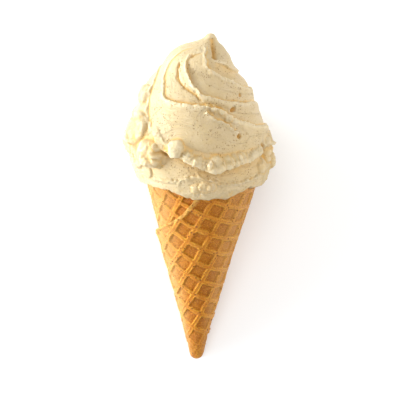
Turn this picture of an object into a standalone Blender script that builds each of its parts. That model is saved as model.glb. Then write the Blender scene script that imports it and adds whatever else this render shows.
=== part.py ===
"""Soft serve cone: a rolled waffle cone with a piped swirl of vanilla soft serve.

Two solids, each its own object:
  waffle_cone  one disc of waffle rolled into a cone. The lattice of pockets is laid
               out on the flat sheet and carried round with it, and the outer layer's
               cut edge stands proud of the layer under it.
  soft_serve   the cream: a dome of folds wound down from a small peak, with a ragged
               skirt over the wafer's rim and a core that fills the cone.

Both are made upright in millimetres, tip at the origin, front at -Y, and are then laid
down on their backs by one parent empty: tip to -Y, peak to +Y, front up. The object
rests on the flattened back of the swirl and on the wafer's tip.
"""

import math

import bmesh
import bpy
import numpy as np
from mathutils import Vector, noise

MM = 0.001                    # the profiles below are in millimetres

# ---- lying position ----------------------------------------------------------
TILT = 16.5                   # degrees, the cone's axis rises this much to the peak
LIFT = 2.45                   # raises the tilted body, the floor then trims it
TIP_Y = -91.3                 # puts the middle of the length at the origin
MIDDLE_X = 0.35               # puts the middle of the width at the origin

# ---- wafer ---------------------------------------------------------------------
APEX_Z = -11.0                # where the cone's straight side would come to a point
SLOPE = 0.2668                # radius gained per mm of height
TIP_R = 3.85                  # rounded tip
RIM_Z = 110.0
WAFER = 2.4                   # thickness of one layer
LAP = 1.9                     # how far the outer layer's cut edge stands proud
LAP_RUN = 250.0               # degrees of turn over which the outer layer sinks in
LAP_RISE = 70.0               # the layers press closer together towards the tip
SINK = 0.7                    # and the inner layer gives way this much under the outer one
FLOOR_Z = 8.0                 # bottom of the hollow inside the cone
SEAM = ((0, -250), (8, -240), (22, -215), (40, -175), (58, -132), (73, -94), (80, -67),
        (83.5, -52), (87.5, -37), (91, -26), (98, -12.5), (104, -4), (110, 4))   # height, angle
PITCH = 9.8                   # waffle lattice on the flat sheet
LATTICE_TURN = 27.0           # degrees between the lattice and the sheet's middle line
LATTICE_U = 1.93
LATTICE_V = 9.5
POCKET = 7.9                  # pocket width at the surface
POCKET_FLOOR = 6.6            # and at its floor
POCKET_DEPTH = 0.95
GAP = 0.36                    # between cream and wafer

# ---- cream: outline of the dome, height and radius ---------------------------------
OUTLINE = ((190.6, 0.0), (190.0, 2.0), (188.7, 3.1), (187.0, 4.6), (185.1, 7.4),
           (183.4, 10.8), (181.6, 13.6), (178.0, 17.0), (174.6, 18.8), (171.0, 20.6),
           (167.6, 23.4), (164.0, 26.8), (160.6, 29.2), (157.0, 31.0), (151.8, 32.6),
           (146.6, 34.6), (141.3, 37.2), (136.0, 39.2), (130.8, 39.6), (120.3, 39.4),
           (115.0, 38.4), (109.8, 36.8), (105.0, 34.4), (102.0, 33.0))
LEAN = ((190.6, 3.8), (188.7, 3.6), (187.0, 3.0), (185.0, 1.4), (181.6, -1.4),
        (178.0, -2.2), (173.0, -2.8), (165.0, -2.6), (150.0, -2.6), (135.0, -2.2),
        (125.0, -1.2), (118.0, 0.3), (110.0, 0.4), (102.0, 0.0))     # height, sideways
BELLY = 1.5                   # extra at the back, where the swirl lies flattened
SKIRT = ((-180, 105), (-130, 106.5), (-90, 107), (-62, 108), (-46, 108.3), (-36, 108.1),
         (-28, 107.8), (-22, 106.6), (-15, 105.2), (-8, 104.6), (2, 104.8), (9, 104),
         (14, 105), (18, 105), (24, 104), (28, 104.4), (35, 106.6), (42, 108.2),
         (52, 108.4), (75, 106), (110, 104.5), (150, 106), (180, 105))           # angle, height

# ---- cream: folds, each a line of (angle, height) read outward from the peak, with its
# outer side on the right. Before each line: dive, its reach, lip, its reach, raggedness
# kind "roll": the inner cream dives under the rolled edge of the outer one
# kind "hang": the inner cream swells to a torn edge that hangs over a recess
# kind "crack": a narrow groove in a shallow valley
FOLDS = (
    ("crack", 2.3, 1.3, 1.0, 3.0, 0.3,
     ((16, 189), (28, 186.6), (35, 183.6), (35, 180.6), (32, 178.6))),
    ("hang", 1.8, 4.0, 1.0, 4.0, 0.4,
     ((28, 179), (34, 178.2), (41, 177.2), (50, 176), (60, 174.4), (85, 170), (130, 166),
      (175, 164))),
    ("roll", 2.0, 4.5, 1.1, 3.0, 1.0,
     ((2, 186), (8, 182), (14, 179.4), (15, 177.2), (19, 174.8), (24, 173), (32, 170.6),
      (41, 168.4), (50, 166.4), (74, 162.6), (97, 159.4), (120, 156.5), (155, 153))),
    ("roll", 1.7, 4.0, 1.2, 4.0, 0.7,
     ((8, 183.4), (4, 182.4), (-6, 182.2), (-18, 181.4), (-24, 180), (-23, 177.8),
      (-20, 174.8), (-16, 171.4), (-10, 168.2), (-2, 165), (4, 162.8), (18, 160.4),
      (34, 158.2), (56, 155.8), (72, 154.6), (100, 151), (140, 147))),
    ("crack", 1.3, 0.6, 0.9, 2.6, 0.7,
     ((-41, 178), (-39, 175.6), (-37, 172.8), (-32, 170), (-24, 167.6), (-9, 164),
      (-4, 163), (2, 160.4), (7, 158.2))),
    ("roll", 2.2, 4.5, 1.5, 4.5, 0.7,
     ((-30, 185), (-45, 183.8), (-54, 182.4), (-56, 180), (-58, 177.4), (-60, 174.4),
      (-60, 171.2), (-54, 168), (-46, 164.8), (-40, 161.4), (-35, 158.9), (-28, 158.2),
      (-12, 157.4), (2, 156.6), (10, 156), (23, 154.1), (38, 148.4), (48, 145.6),
      (62, 143.2), (85, 140), (110, 137), (150, 134))),
    ("roll", 1.5, 4.0, 0.8, 2.5, 1.0,
     ((8, 154.6), (16, 151.2), (22, 148.6), (29, 146.2), (35, 143.2), (39, 140.6))),
    ("roll", 1.3, 3.0, 1.8, 4.5, 0.8,
     ((-150, 174), (-115, 171.5), (-90, 169.5), (-76, 167), (-66, 164), (-60, 159.6),
      (-58, 156), (-56, 151.8), (-52, 148), (-44, 143), (-38, 139))),
    ("hang", 3.2, 8.0, 1.8, 5.0, 1.2,
     ((-48, 146), (-41, 141), (-34, 135.4), (-28, 133.2), (-22, 131.4), (-11, 129.4),
      (-6, 127.6), (3, 124.8), (10, 122.4), (16, 122.8), (33, 125.2), (56, 128),
      (70, 129.4), (90, 130.5), (120, 129), (165, 128), (210, 130), (250, 138),
      (280, 147))),
    ("crack", 0.25, 0.8, 0.5, 3.0, 0.6,
     ((-14, 136.6), (-1, 133.8), (6, 132.2), (18, 131.2), (31, 131.2), (44, 132),
      (60, 132.6), (76, 132.4))),
    ("crack", 1.2, 1.0, 0.8, 2.5, 1.0,
     ((63, 133.6), (66, 130), (69, 126), (70, 121))),
    ("roll", 0.5, 5.0, 0.6, 3.0, 1.4,
     ((-60, 115.4), (-48, 114.4), (-26, 115), (-16, 116.2), (-10, 118), (-4, 118.6),
      (7, 116.4), (20, 113.8), (39, 114.6), (50, 115), (90, 118), (140, 118),
      (190, 119), (240, 119), (285, 116))),
)

# ---- cream: the folds lie pressed together down the sides and towards the peak, here
# where that starts, over how much it grows and what share of their height is lost
PRESSED_LEFT = (24.0, 22.0, 0.80)       # degrees, degrees, share
PRESSED_RIGHT = (50.0, 20.0, 0.45)
PRESSED_UNTIL = 130.0                   # degrees, past this they open again
PRESSED_TOP = (172.0, 8.0, 0.70)        # mm of height, mm, share

# ---- cream: single lumps, angle, height, radius, how far they stand out --------------
LUMPS = ((-16, 134.8, 4.6, 3.6), (-8, 131.2, 2.6, 1.5), (-4, 128.6, 2.5, 1.7),
         (1.5, 128.8, 2.8, 1.6), (7, 127.2, 2.6, 1.5), (14, 126.6, 4.6, 3.0),
         (24, 127.4, 3.4, 1.8), (31, 128.6, 3.4, 1.6),
         (36, 129.2, 3.0, 1.3), (-41, 128.8, 8.2, 4.8), (-33, 131.6, 3.4, 1.6),
         (-31, 127.2, 3.4, 1.9), (-36, 124.4, 3.6, 1.9), (-44, 131.8, 3.6, 1.4),
         (-43, 126.0, 3.6, 1.5), (-62, 140.5, 8.8, 3.2), (-64, 148.6, 5.5, 1.8),
         (-74, 130.0, 7.2, 2.6), (-60, 124.0, 6.5, 2.2), (-50, 119.0, 5.0, 1.3),
         (-72, 157.0, 6.5, 2.2), (77, 127.0, 6.2, 2.8), (88, 120.0, 6.0, 2.4),
         (62, 120.0, 4.6, 1.6), (84, 131.0, 5.6, 1.0), (16, 155.4, 2.3, 1.5),
         (24, 153.4, 2.0, 1.1), (11, 156.8, 1.8, 0.9), (30, 149.2, 2.2, 0.9),
         (-4, 111.6, 2.8, 1.3), (3, 112.8, 3.2, 1.5), (9, 112.6, 2.6, 1.0))

# ---- mesh fineness ---------------------------------------------------------------
CONE_SIDES = 36
CONE_HEIGHTS = (0.35, 1.2, 2.8, 6.0, 14.0, 30.0, 46.0, 60.0, 70.0, 77.0, 83.0, 89.0,
                96.0, 103.0, 110.0)
CREAM_SIDES = 64
CREAM_ROWS = 36
EDGE = 2.0                    # width over which a fold's edge rises


def smoothstep(t):
    t = np.clip(t, 0.0, 1.0)
    return t * t * (3.0 - 2.0 * t)


def smooth_path(points, step):
    """A Catmull-Rom curve through the points, read at about the given step."""
    pts = np.array(points, dtype=float)
    ends = np.vstack([2 * pts[0] - pts[1], pts, 2 * pts[-1] - pts[-2]])
    out = []
    for i in range(1, len(ends) - 2):
        p0, p1, p2, p3 = ends[i - 1], ends[i], ends[i + 1], ends[i + 2]
        n = max(2, int(np.linalg.norm(p2 - p1) / step))
        for t in np.arange(n) / n:
            out.append(0.5 * (2 * p1 + (p2 - p0) * t
                              + (2 * p0 - 5 * p1 + 4 * p2 - p3) * t * t
                              + (3 * p1 - p0 - 3 * p2 + p3) * t ** 3))
    out.append(pts[-1])
    return np.array(out)


# ================================ wafer geometry ================================

SEAM_LINE = smooth_path(SEAM, 1.5)


def seam_angle(z):
    return np.interp(z, SEAM_LINE[:, 0], SEAM_LINE[:, 1])


def lap_fade(z):
    return smoothstep((np.asarray(z, dtype=float) - 4.0) / LAP_RISE)


def wafer_radius(z):
    """Outer radius of the inner layer: a straight cone with a rounded tip."""
    z = np.asarray(z, dtype=float)
    tip = np.sqrt(np.maximum(TIP_R ** 2 - (TIP_R - z) ** 2, 0.0))
    side = SLOPE * (z - APEX_Z) - SINK * lap_fade(z)
    return np.where(z < TIP_R * 0.74, tip, side)


def lap_height(z, turn):
    """How far the outer layer stands proud, `turn` degrees on from its cut edge."""
    return LAP * lap_fade(z) * (1.0 - smoothstep(np.asarray(turn) / LAP_RUN))


def wafer_point(z, angle, height=0.0):
    turn = (angle - seam_angle(z)) % 360.0
    r = wafer_radius(z) + lap_height(z, turn) + height
    a = math.radians(angle)
    return Vector((r * math.sin(a), -r * math.cos(a), z)) * MM


def add_object(name, bm, collection):
    bmesh.ops.recalc_face_normals(bm, faces=bm.faces)
    mesh = bpy.data.meshes.new(name)
    bm.to_mesh(mesh)
    bm.free()
    obj = bpy.data.objects.new(name, mesh)
    collection.objects.link(obj)
    return obj


def skin(bm, rings, close):
    """Faces between neighbouring rings; `close` joins each ring's last point to its first."""
    for low, high in zip(rings[:-1], rings[1:]):
        n = len(low)
        for j in range(n if close else n - 1):
            k = (j + 1) % n
            bm.faces.new((low[j], low[k], high[k], high[j]))


def build_wafer(collection):
    bm = bmesh.new()
    turns = np.linspace(0.0, 360.0, CONE_SIDES + 1)
    rings = []
    for z in CONE_HEIGHTS:
        ring = []
        for turn in turns:
            r = float(wafer_radius(z) + lap_height(z, turn))
            a = math.radians(float(seam_angle(z)) + turn)
            ring.append(bm.verts.new(Vector((r * math.sin(a), -r * math.cos(a), z)) * MM))
        rings.append(ring)
    for z in np.linspace(RIM_Z, FLOOR_Z, 7):
        ring = []
        for turn in turns:
            r = float(wafer_radius(z)) - WAFER
            a = math.radians(float(seam_angle(RIM_Z)) + turn)
            ring.append(bm.verts.new(Vector((r * math.sin(a), -r * math.cos(a), z)) * MM))
        rings.append(ring)
    skin(bm, rings, close=True)
    bm.faces.new(rings[0])
    bm.faces.new(rings[-1])
    # the cut edge's wall has no height at the tip and inside, so its points meet there
    bmesh.ops.remove_doubles(bm, verts=bm.verts, dist=0.000002)
    bmesh.ops.dissolve_degenerate(bm, dist=0.000002, edges=bm.edges)
    return add_object("waffle_cone", bm, collection)


def sheet_to_cone(u, v):
    """From lattice coordinates on the flat sheet to height and wound-up angle."""
    b = math.radians(LATTICE_TURN)
    across = u * math.cos(b) + v * math.sin(b)
    along = -u * math.sin(b) + v * math.cos(b)
    half = math.atan(SLOPE)
    reach = math.hypot(across, along)
    z = reach * math.cos(half) + APEX_Z
    angle = math.degrees(math.atan2(across, along)) / math.sin(half)
    return z, angle


def build_pockets(collection):
    """One tapered block for each pocket of the lattice, bent to the cone."""
    bm = bmesh.new()
    for i in range(-20, 21):
        for j in range(-20, 21):
            u = LATTICE_U + (i + 0.5) * PITCH
            v = LATTICE_V + (j + 0.5) * PITCH
            z, angle = sheet_to_cone(u, v)
            if z < 13.0 or z > RIM_Z - 6.0:
                continue
            if not 0.0 < angle - float(seam_angle(z)) < 360.0:
                continue
            corners = [sheet_to_cone(u + a * POCKET / 2, v + b * POCKET / 2)
                       for a in (-1, 1) for b in (-1, 1)]
            clear = [c[1] - float(seam_angle(c[0])) for c in corners]
            margin = math.degrees(1.6 / float(wafer_radius(z)))
            if min(clear) < margin or max(clear) > 360.0 - margin:
                continue
            cells = 1 if wafer_radius(z) > 15.0 else 2
            layers = []
            for size, height in ((POCKET_FLOOR, -POCKET_DEPTH), (POCKET + 1.2, 1.2)):
                grid = []
                for a in np.linspace(-0.5, 0.5, cells + 1):
                    row = []
                    for b in np.linspace(-0.5, 0.5, cells + 1):
                        cz, cangle = sheet_to_cone(u + a * size, v + b * size)
                        row.append(bm.verts.new(wafer_point(cz, cangle, height)))
                    grid.append(row)
                layers.append(grid)
            low, high = layers
            n = cells
            for a in range(n):
                for b in range(n):
                    bm.faces.new((low[a][b], low[a][b + 1], low[a + 1][b + 1], low[a + 1][b]))
                    bm.faces.new((high[a][b], high[a + 1][b], high[a + 1][b + 1],
                                  high[a][b + 1]))
            border = ([(a, 0) for a in range(n)] + [(n, b) for b in range(n)]
                      + [(a, n) for a in range(n, 0, -1)] + [(0, b) for b in range(n, 0, -1)])
            for (a, b), (c, d) in zip(border, border[1:] + border[:1]):
                bm.faces.new((low[a][b], low[c][d], high[c][d], high[a][b]))
    return add_object("pocket_cutters", bm, collection)


# ================================ cream geometry ================================

OUTLINE_LINE = smooth_path(OUTLINE, 0.8)
SKIRT_LINE = smooth_path(SKIRT, 4.0)
LEAN_LINE = smooth_path(LEAN, 0.8)


def dome_point(angle, z):
    """Points of the smooth dome under the folds, from arrays of angle and height."""
    r = np.interp(-z, -OUTLINE_LINE[:, 0], OUTLINE_LINE[:, 1])
    a = np.radians(angle)
    lean = np.interp(-z, -LEAN_LINE[:, 0], LEAN_LINE[:, 1])
    return np.stack([r * np.sin(a) + lean, -r * np.cos(a), z], axis=-1)


def fold_strength(angles, heights):
    """How much of the folds' height is left, 1 on the front and at the back."""
    strength = np.ones(len(angles))
    for side, (start, run, share) in ((-1, PRESSED_LEFT), (1, PRESSED_RIGHT)):
        turned = side * angles
        strength -= share * smoothstep((turned - start) / run) * smoothstep(
            (PRESSED_UNTIL - turned) / run)
    start, run, share = PRESSED_TOP
    return strength * (1.0 - share * smoothstep((heights - start) / run))


def fold_relief(points, normals, angles):
    """Height of the folds and lumps over the dome, in mm along its normal."""
    relief = np.zeros(len(points))
    jitter = np.array([noise.noise(Vector(p) / 4.5) for p in points]) * 0.7
    pressed = fold_strength(angles, points[:, 2])
    for kind, dive, dive_reach, lip, lip_reach, rag, line in FOLDS:
        track = smooth_path(line, 4.0)
        path = dome_point(track[:, 0], track[:, 1])
        best = np.full(len(points), 1e9)
        signed = np.zeros(len(points))
        where = np.zeros(len(points))
        for k in range(len(path) - 1):
            a, d = path[k], path[k + 1] - path[k]
            t = np.clip(((points - a) @ d) / (d @ d), 0.0, 1.0)
            off = points - (a + t[:, None] * d)
            dist = np.linalg.norm(off, axis=1)
            side = np.einsum("ij,ij->i", np.cross(d[None, :], normals), off)
            near = dist < best
            best = np.where(near, dist, best)
            signed = np.where(near, np.copysign(dist, side), signed)
            where = np.where(near, (k + t) / (len(path) - 1), where)
        fade = smoothstep(where / 0.06) * smoothstep((1.0 - where) / 0.18)
        s = signed + rag * jitter
        before = np.maximum(-s, 0.0)
        past = np.maximum(s, 0.0)
        over = smoothstep((s + EDGE / 2.0) / EDGE)
        raised = fade * pressed
        if kind == "crack":
            relief -= fade * dive * np.exp(-(s / max(dive_reach, EDGE / 2.0)) ** 2)
            relief -= fade * lip * np.exp(-np.abs(s) / lip_reach)
        elif kind == "roll":
            relief -= raised * (1.0 - over) * dive * np.exp(-before / dive_reach)
            relief += raised * over * lip * np.exp(-(past / lip_reach) ** 2)
        else:
            relief += raised * (1.0 - over) * lip * np.exp(-(before / lip_reach) ** 2)
            relief -= raised * over * dive * np.exp(-past / dive_reach)
    for angle, z, radius, height in LUMPS:
        centre = dome_point(np.array([angle]), np.array([z]))[0]
        d = np.linalg.norm(points - centre, axis=1) / radius
        relief += height * np.sqrt(np.maximum(1.0 - d * d, 0.0))
    return relief


def rough_places(angle, z):
    """0 to 1: the broken-up cream of the left side, the lower right and the skirt."""
    left = smoothstep((-angle - 48.0) / 22.0) * smoothstep((172.0 - z) / 8.0)
    right = smoothstep((angle - 52.0) / 20.0) * smoothstep((133.0 - z) / 7.0)
    low = smoothstep((117.0 - z) / 8.0)
    return np.clip(np.maximum(np.maximum(left, right), low), 0.0, 1.0)


def build_cream(collection):
    outline = OUTLINE_LINE
    run = np.concatenate([[0.0], np.cumsum(np.linalg.norm(np.diff(outline, axis=0), axis=1))])
    marks = np.linspace(0.0, 1.0, CREAM_ROWS + 1)[1:] ** 0.93
    row_z = np.interp(marks * run[-1], run, outline[:, 0])
    # the seam down the back of the ring list lies at +Y, under the swirl
    angle = np.linspace(-180.0, 180.0, CREAM_SIDES + 1)[:-1]
    skirt = np.interp(angle, SKIRT_LINE[:, 0], SKIRT_LINE[:, 1])

    grid_z = np.repeat(row_z[:, None], CREAM_SIDES, axis=1)
    pull = smoothstep((marks - 0.72) / 0.28)[:, None]
    grid_z = grid_z + (skirt[None, :] + 0.9 - row_z[-1]) * pull
    grid_a = np.repeat(angle[None, :], CREAM_ROWS, axis=0)
    base = dome_point(grid_a, grid_z)
    step = 0.4
    down = dome_point(grid_a, grid_z - step) - dome_point(grid_a, grid_z + step)
    round_ = dome_point(grid_a + 1.0, grid_z) - dome_point(grid_a - 1.0, grid_z)
    normal = np.cross(down, round_)
    normal /= np.linalg.norm(normal, axis=-1, keepdims=True) + 1e-12

    flat = base.reshape(-1, 3)
    flat_n = normal.reshape(-1, 3)
    relief = fold_relief(flat, flat_n, grid_a.reshape(-1)).reshape(grid_z.shape)
    rough = rough_places(grid_a, grid_z)
    bumps = np.array([noise.noise(Vector(p) / 6.5) for p in flat]).reshape(grid_z.shape)
    behind = np.cos(np.radians(grid_a + 180.0))
    belly = BELLY * np.clip(behind, 0, 1) ** 4 * np.exp(-((grid_z - 129.0) / 16.0) ** 2)
    relief = relief + 3.0 * bumps * rough + belly
    near_peak = smoothstep((base[..., 2] - 184.0) / 4.0)
    relief = relief * (1.0 - 0.75 * near_peak)
    # the skirt's last rows thin out to the wafer
    relief = relief * (1.0 - 0.7 * smoothstep((marks - 0.93) / 0.07)[:, None])
    outer = base + normal * relief[..., None]

    bm = bmesh.new()
    rings = [[bm.verts.new(Vector(p) * MM) for p in row] for row in outer]

    def ring(heights, radii):
        a = np.radians(angle)
        return [bm.verts.new(Vector((r * math.sin(t), -r * math.cos(t), z)) * MM)
                for r, z, t in zip(radii, heights, a)]

    def clear_radius(z):
        """The wafer's outside with the gap, wide enough on both sides of its cut edge."""
        laps = [lap_height(z, (angle + d - seam_angle(z)) % 360.0) for d in (-6, 0, 6)]
        return wafer_radius(z) + np.max(laps, axis=0) + GAP

    last = np.hypot(outer[-1, :, 0], outer[-1, :, 1])
    rings.append(ring(skirt, 0.45 * last + 0.55 * clear_radius(skirt)))
    rings.append(ring(skirt + 0.9, clear_radius(skirt + 0.9)))
    rings.append(ring(skirt * 0 + RIM_Z - 1.5, clear_radius(skirt * 0 + RIM_Z - 1.5)))
    rings.append(ring(skirt * 0 + RIM_Z + GAP, clear_radius(skirt * 0 + RIM_Z)))
    inside = skirt * 0 + 1.0
    for z in (RIM_Z + GAP, RIM_Z - 25.0, RIM_Z - 50.0, RIM_Z - 75.0, FLOOR_Z + 1.6):
        z_in = min(z, RIM_Z)
        rings.append(ring(inside * z, inside * (float(wafer_radius(z_in)) - WAFER - GAP)))
    skin(bm, rings, close=True)
    top = bm.verts.new(Vector((LEAN[0][1], 0.0, OUTLINE[0][0])) * MM)
    for j in range(CREAM_SIDES):
        bm.faces.new((top, rings[0][j], rings[0][(j + 1) % CREAM_SIDES]))
    bm.faces.new(rings[-1])
    return add_object("soft_serve", bm, collection)


# ================================ assembly ================================

def make_material(name, rgb, roughness):
    material = bpy.data.materials.new(name)
    material.use_nodes = True
    shader = material.node_tree.nodes["Principled BSDF"]
    shader.inputs["Base Color"].default_value = (*rgb, 1.0)
    shader.inputs["Roughness"].default_value = roughness
    shader.inputs["Metallic"].default_value = 0.0
    material.diffuse_color = (*rgb, 1.0)
    return material


def cut(obj, cutter, name):
    modifier = obj.modifiers.new(name, "BOOLEAN")
    modifier.operation = "DIFFERENCE"
    modifier.solver = "EXACT"
    modifier.object = cutter


def main():
    for obj in list(bpy.data.objects):
        bpy.data.objects.remove(obj, do_unlink=True)

    scene = bpy.context.scene
    parts = bpy.data.collections.new("soft_serve_cone")
    cutters = bpy.data.collections.new("cutters")
    scene.collection.children.link(parts)
    scene.collection.children.link(cutters)

    lying = bpy.data.objects.new("lying_axis", None)
    parts.objects.link(lying)
    lying.rotation_euler = (-math.radians(90.0 - TILT), 0.0, 0.0)
    lying.location = (MIDDLE_X * MM, TIP_Y * MM, LIFT * MM)

    wafer = build_wafer(parts)
    pockets = build_pockets(cutters)
    cream = build_cream(parts)
    for obj in (wafer, pockets, cream):
        obj.parent = lying

    bpy.ops.mesh.primitive_cube_add(size=1.0)
    floor = bpy.context.object
    floor.name = "floor_cutter"
    floor.scale = (0.3, 0.4, 0.05)
    floor.location = (0.0, 0.0, -0.025)
    for collection in list(floor.users_collection):
        collection.objects.unlink(floor)
    cutters.objects.link(floor)
    for cutter in (pockets, floor):
        cutter.hide_render = True
        cutter.display_type = "WIRE"

    cut(wafer, pockets, "pockets")
    cut(wafer, floor, "resting flat at the tip")
    cut(cream, floor, "resting flat of the swirl")

    wafer.data.materials.append(make_material("baked_wafer", (0.62, 0.31, 0.085), 0.62))
    cream.data.materials.append(make_material("vanilla_cream", (0.86, 0.73, 0.47), 0.5))
    for obj in (wafer, cream):
        obj.data.shade_smooth()
        obj.data.set_sharp_from_angle(angle=math.radians(38.0))


main()
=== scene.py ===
"""Soft serve cone: the finish of the wafer and of the swirl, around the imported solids.

The cone lies on its back on a pale floor, tip towards -Y, peak towards +Y, shown side up.
Lengths are in millimetres until a mesh is placed; the frame itself is in metres.
"""

import math

import bmesh
import bpy
import numpy as np
from mathutils import Matrix, Vector


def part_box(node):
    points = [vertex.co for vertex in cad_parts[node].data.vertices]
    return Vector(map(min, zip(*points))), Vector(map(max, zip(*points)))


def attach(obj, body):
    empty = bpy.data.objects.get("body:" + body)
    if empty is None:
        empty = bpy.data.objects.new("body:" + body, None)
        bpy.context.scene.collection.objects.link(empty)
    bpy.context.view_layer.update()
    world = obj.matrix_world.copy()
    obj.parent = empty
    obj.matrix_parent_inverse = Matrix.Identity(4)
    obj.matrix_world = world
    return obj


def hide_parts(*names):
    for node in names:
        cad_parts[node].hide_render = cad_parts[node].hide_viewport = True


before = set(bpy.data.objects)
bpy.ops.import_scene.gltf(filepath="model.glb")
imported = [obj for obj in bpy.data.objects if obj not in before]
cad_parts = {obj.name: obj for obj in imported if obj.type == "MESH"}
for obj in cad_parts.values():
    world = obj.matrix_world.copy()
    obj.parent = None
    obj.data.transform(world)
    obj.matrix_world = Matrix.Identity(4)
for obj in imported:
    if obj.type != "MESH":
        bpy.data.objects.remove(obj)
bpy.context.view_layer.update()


# ============================================================================
# Wafer: one disc of sweet waffle batter baked between two lattice plates and
# rolled hot round a cone. Its outer layer's cut edge lies over the layer under
# it. Square pockets, pale rounded ridges with pin holes, browner pocket floors.
# ============================================================================

MM = 0.001

TILT = 16.5                   # degrees that the lying cone's axis rises towards the peak
TIP_R = 3.85                  # rounded tip
TIP_SHARE = 0.74              # of that radius: the height at which the straight side takes over
AXIS_X = 0.35                 # the axis runs this far beside the object's middle
LIFT = 2.45                   # height of the axis' lower end above the floor

wafer_low, wafer_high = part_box("waffle_cone")
tip_y = wafer_low[1] / MM + TIP_R * (1.0 - math.cos(math.radians(TILT)))
LYING = (Matrix.Translation(Vector((AXIS_X, tip_y, LIFT)) * MM)
         @ Matrix.Rotation(-math.radians(90.0 - TILT), 4, "X")
         @ Matrix.Scale(MM, 4))

APEX_Z = -11.0                # where the straight side would come to a point
SLOPE = 0.2668                # radius gained per mm of height
RIM_Z = 110.0
HOLLOW_Z = 8.0                # bottom of the hollow inside
WAFER = 2.4                   # thickness of one layer
LAP = 1.9                     # how far the cut edge stands proud
LAP_RUN = 250.0               # degrees of turn over which the outer layer sinks in
LAP_LOW = 4.0                 # below this height the layers are pressed into one
LAP_RISE = 70.0               # and over this much more height they come apart
SINK = 0.7                    # and the inner layer gives way this much under the outer one
SEAM = ((0, -250), (8, -240), (22, -215), (40, -175), (58, -132), (73, -94), (80, -67),
        (83.5, -52), (87.5, -37), (91, -26), (98, -12.5), (104, -4), (110, 4))   # height, angle

PITCH = 9.8                   # lattice on the flat sheet
LATTICE_TURN = 27.0           # degrees
LATTICE_U = 1.93              # where one ridge of each direction lies
LATTICE_V = 9.5
LATTICE_SWAY = 1.1            # how far the ridges wander
RIDGE_HALF = 0.95             # half the flat of a ridge
RIDGE_WALL = 0.8              # width of its sloping side
RIDGE_UNEVEN = 0.7            # how much its width varies
RIDGE_CROWN = 0.22            # roundness of its top
RIDGE_BLEND = 0.7             # rounding where two ridges cross
POCKET_DEPTH = 1.15
POCKET_TIP_SHARE = 0.5        # of that depth, near the tip
POCKET_PILLOW = 0.22          # swelling of the pocket's floor
BLISTERS = 0.9                # broad and fine unevenness of the baked sheet
CRUMB = 0.36
EDGE_WANDER = 5.0             # degrees, of the torn cut edge
EDGE_BEAD = 0.9               # extra thickness along it
WAFER_SIZES = {"Rim height": RIM_Z, "Wafer thickness": WAFER, "Lap": LAP,
               "Lattice pitch": PITCH, "Ridge half width": RIDGE_HALF,
               "Ridge wall width": RIDGE_WALL, "Pocket depth": POCKET_DEPTH}

COLUMNS = 330                 # of the mesh, round the cone
ROWS = 288                    # up the outside, over the rim and down the hollow
SEAM_PICKS = 24               # points of the cut edge's line that the node tree is given
WALL_SHARE = 0.012            # of the columns, on the cut edge's wall
OUTSIDE_SHARE = 0.925         # of the rows, on the outside
RIM_SHARE = 0.02              # of the rows, across the rim
CLOSE_SHARE = 0.01            # of the rows, across the hollow's bottom


def smooth_path(points, step):
    """A Catmull-Rom curve through the points, read at about the given step."""
    pts = np.array(points, dtype=float)
    ends = np.vstack([2 * pts[0] - pts[1], pts, 2 * pts[-1] - pts[-2]])
    out = []
    for i in range(1, len(ends) - 2):
        p0, p1, p2, p3 = ends[i - 1], ends[i], ends[i + 1], ends[i + 2]
        n = max(2, int(np.linalg.norm(p2 - p1) / step))
        for t in np.arange(n) / n:
            out.append(0.5 * (2 * p1 + (p2 - p0) * t
                              + (2 * p0 - 5 * p1 + 4 * p2 - p3) * t * t
                              + (3 * p1 - p0 - 3 * p2 + p3) * t ** 3))
    out.append(pts[-1])
    return np.array(out)


SEAM_LINE = smooth_path(SEAM, 1.5)
SEAM_LOW = float(SEAM_LINE[:, 1].min())
SEAM_HIGH = float(SEAM_LINE[:, 1].max())


class NodeDesk:
    """Short ways to add and wire nodes in one tree."""

    def __init__(self, tree):
        self.tree = tree

    def fill(self, node, inputs):
        """Links or sets each named input."""
        for name, value in inputs.items():
            if isinstance(value, bpy.types.NodeSocket):
                self.tree.links.new(value, node.inputs[name])
            else:
                node.inputs[name].default_value = value
        return node

    def put(self, kind, inputs=None, **settings):
        node = self.tree.nodes.new(kind)
        for name, value in settings.items():
            setattr(node, name, value)
        return self.fill(node, inputs or {})

    def math(self, operation, *values):
        node = self.put("ShaderNodeMath", dict(enumerate(values)), operation=operation)
        return node.outputs[0]

    def ramp(self, value, low, high, start=0.0, end=1.0, kind="LINEAR"):
        node = self.put("ShaderNodeMapRange",
                        {"Value": value, "From Min": low, "From Max": high,
                         "To Min": start, "To Max": end}, interpolation_type=kind)
        return node.outputs["Result"]

    def join(self, x, y, z):
        return self.put("ShaderNodeCombineXYZ", {0: x, 1: y, 2: z}).outputs[0]

    def noise(self, vector, scale, detail=2.0, rough=0.5, output="Fac"):
        node = self.put("ShaderNodeTexNoise",
                        {"Vector": vector, "Scale": scale, "Detail": detail,
                         "Roughness": rough})
        return node.outputs[output]

    def stored(self, name, output="Fac"):
        """A value that the mesh keeps under this name."""
        return self.put("ShaderNodeAttribute", attribute_name=name).outputs[output]


def new_socket_tree(name, kind, inputs, outputs):
    """A node group with named sockets; inputs are (name, type, default)."""
    tree = bpy.data.node_groups.new(name, kind)
    for label, socket_type, default in inputs:
        socket = tree.interface.new_socket(name=label, in_out="INPUT", socket_type=socket_type)
        if default is not None:
            socket.default_value = default
    for label, socket_type in outputs:
        tree.interface.new_socket(name=label, in_out="OUTPUT", socket_type=socket_type)
    return tree


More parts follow.
